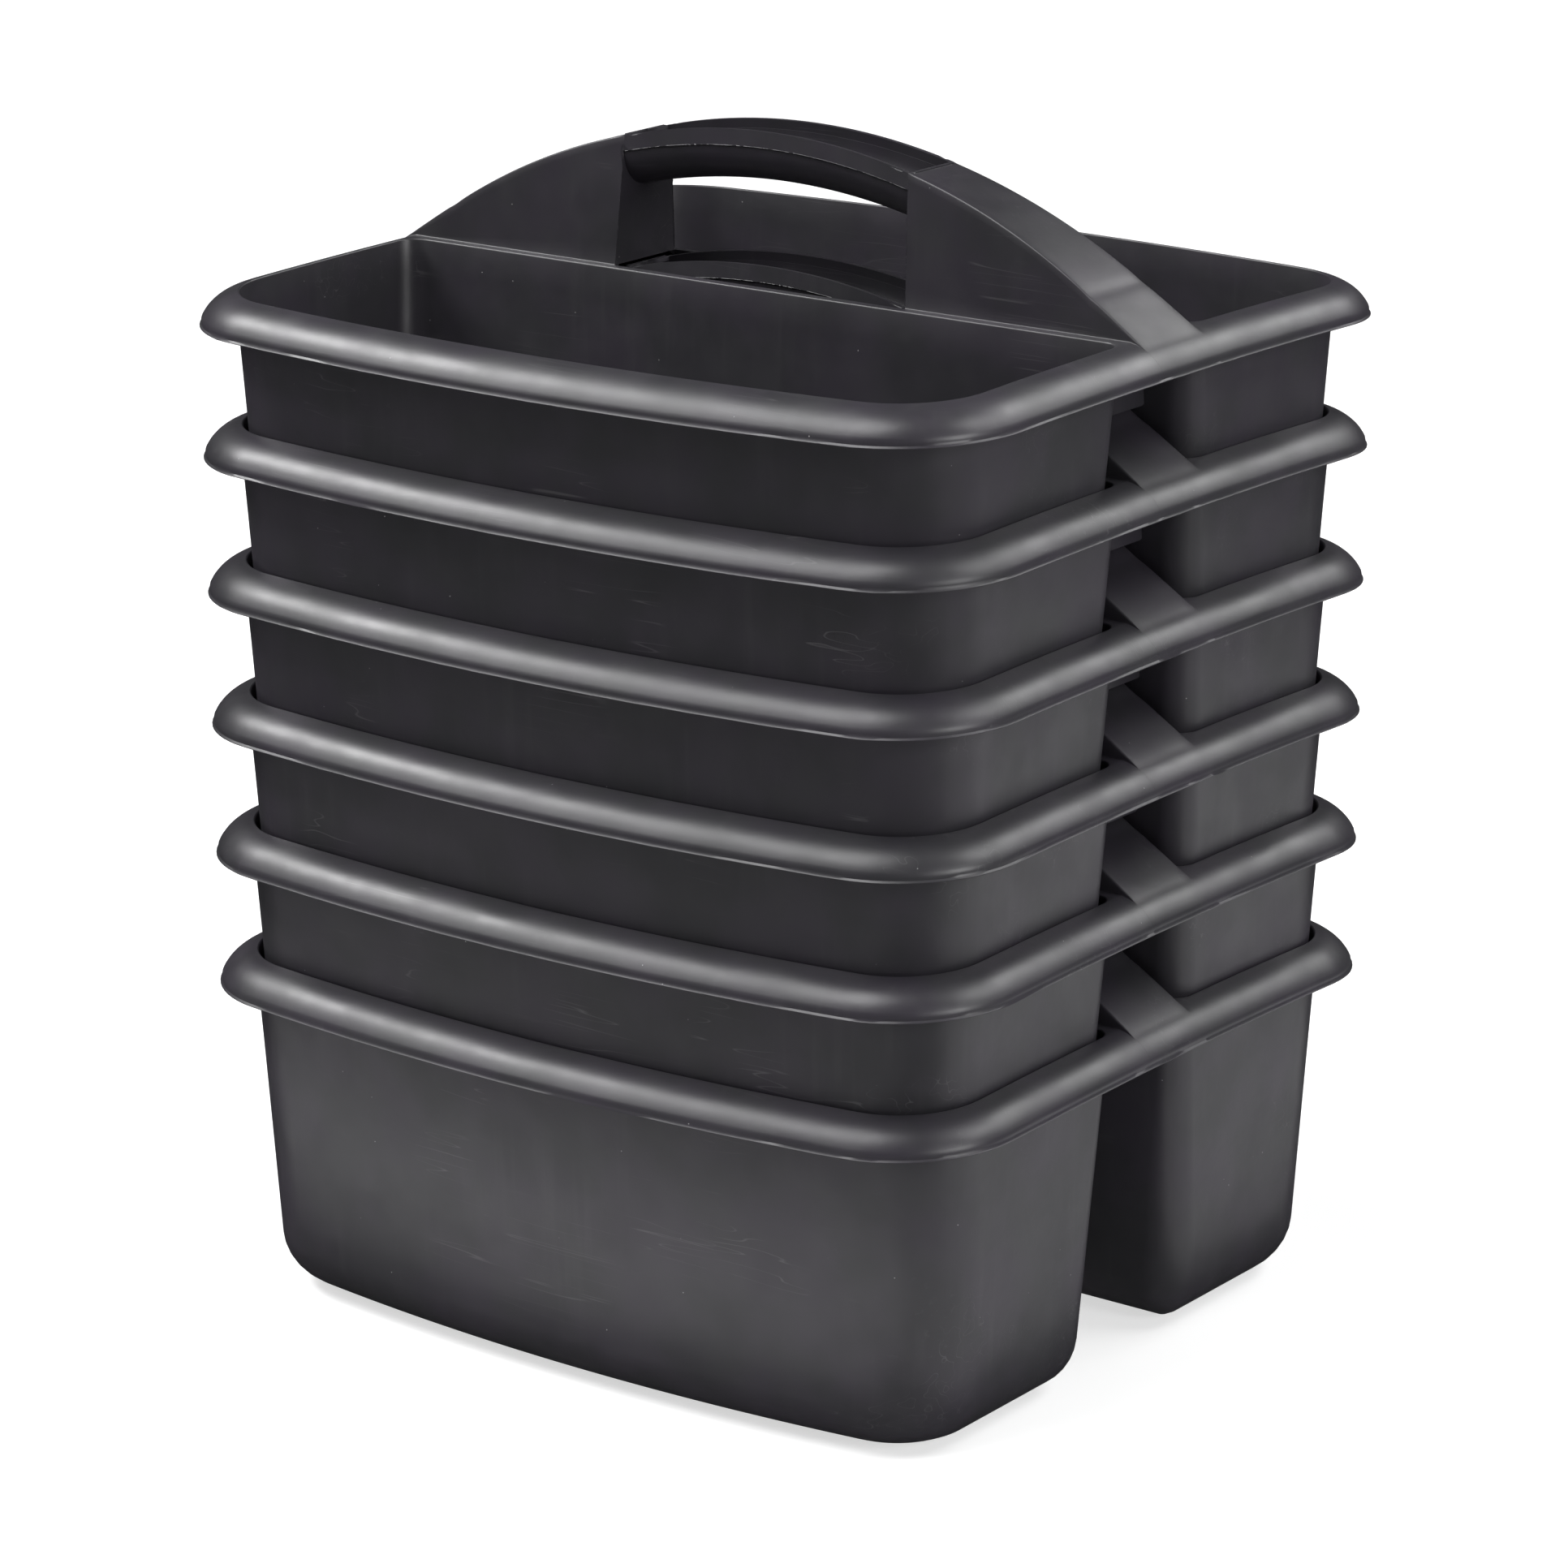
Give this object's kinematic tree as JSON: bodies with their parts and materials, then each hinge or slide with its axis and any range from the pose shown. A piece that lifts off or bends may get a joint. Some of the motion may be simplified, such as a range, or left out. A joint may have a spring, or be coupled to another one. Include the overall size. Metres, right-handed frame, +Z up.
{
  "type": "cleaning caddy",
  "caption": "Nested stack of black moulded caddies with two open bins, a rolled rim and a hollow arched handle, for carrying cleaning supplies. Each lifts off the one below.",
  "frame": {"origin": "under the middle of the stack, on the surface it stands on", "axes": "+X along the long front side, +Y from the front bin to the rear bin, +Z up"},
  "size_m": [0.235, 0.215, 0.2952],
  "materials": {
    "black_plastic": "satin moulded polypropylene"
  },
  "bodies": {
    "caddy_1": {"caddy_1": "black_plastic"},
    "caddy_2": {"caddy_2": "black_plastic"},
    "caddy_3": {"caddy_3": "black_plastic"},
    "caddy_4": {"caddy_4": "black_plastic"},
    "caddy_5": {"caddy_5": "black_plastic"},
    "caddy_6": {"caddy_6": "black_plastic"}
  },
  "joints": [
    {"name": "caddy_2_lift", "type": "slide", "parent": "caddy_1", "child": "caddy_2", "axis": [0, 0, 1], "range_m": [0, 0.1]},
    {"name": "caddy_3_lift", "type": "slide", "parent": "caddy_2", "child": "caddy_3", "axis": [0, 0, 1], "range_m": [0, 0.1]},
    {"name": "caddy_4_lift", "type": "slide", "parent": "caddy_3", "child": "caddy_4", "axis": [0, 0, 1], "range_m": [0, 0.1]},
    {"name": "caddy_5_lift", "type": "slide", "parent": "caddy_4", "child": "caddy_5", "axis": [0, 0, 1], "range_m": [0, 0.1]},
    {"name": "caddy_6_lift", "type": "slide", "parent": "caddy_5", "child": "caddy_6", "axis": [0, 0, 1], "range_m": [0, 0.1]}
  ]
}
